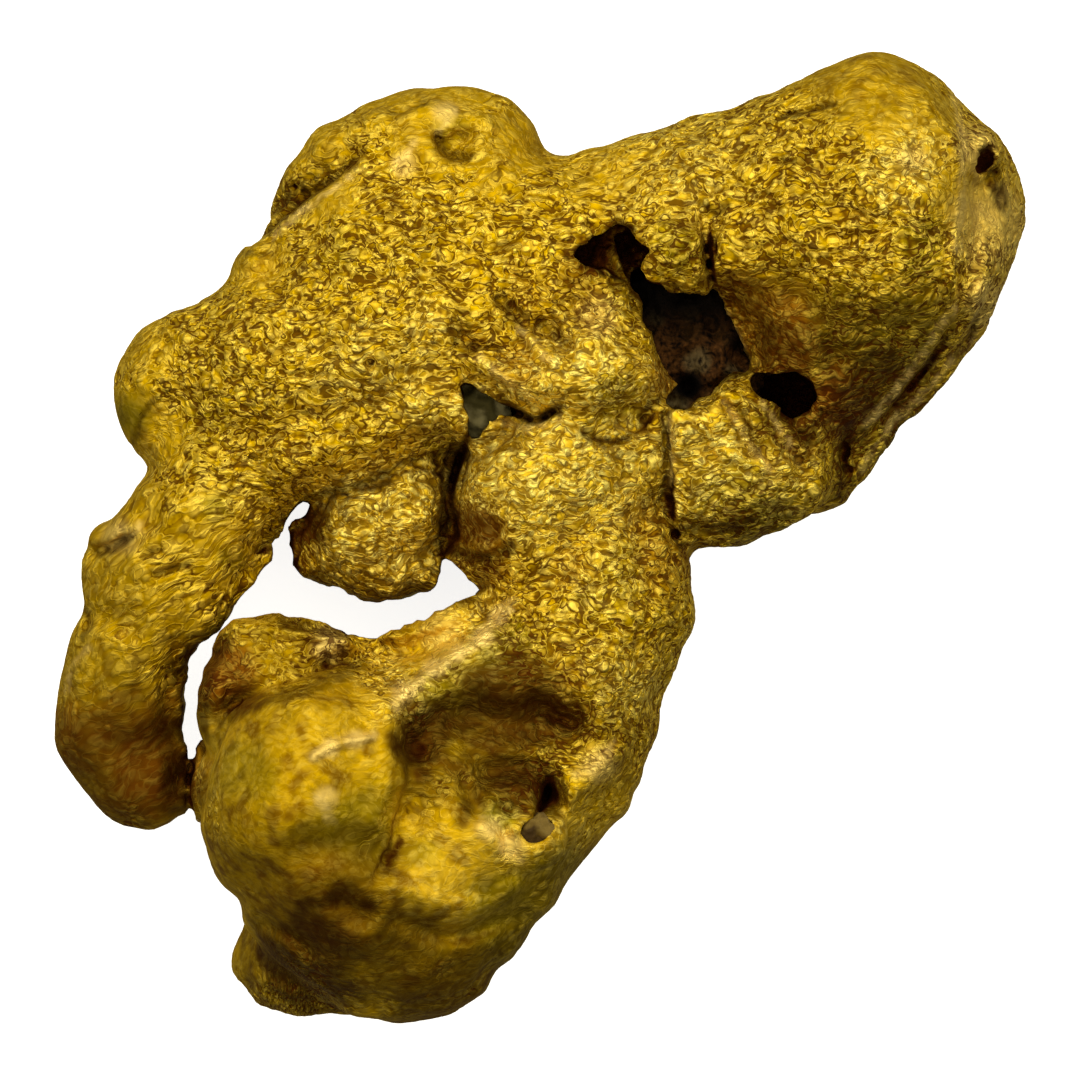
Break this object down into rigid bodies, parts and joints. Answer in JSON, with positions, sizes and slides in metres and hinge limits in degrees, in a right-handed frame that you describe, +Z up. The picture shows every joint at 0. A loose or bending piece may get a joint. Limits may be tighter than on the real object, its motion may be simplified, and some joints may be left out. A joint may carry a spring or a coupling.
{
  "type": "gold nugget",
  "caption": "Stream-worn lump of native gold that lies on its flatter side, with bits of stone lodged in its hollows.",
  "frame": {"origin": "centre of the nugget's box, on the level of the worn flats that it rests on", "axes": "+Z up, through the nugget's thickness; +X right and +Y back, as seen from above with the foot to the front left and the dome to the back right"},
  "size_m": [0.0194, 0.0194, 0.008],
  "materials": {
    "gold": "native gold, peened and wrinkled by the stream, satin bright with dark grooves",
    "matrix": null,
    "quartz": null
  },
  "bodies": {
    "root": {"gold_body": "gold", "cavity_matrix": "matrix", "seam_grain": "quartz", "foot_grain": "quartz"}
  },
  "joints": []
}
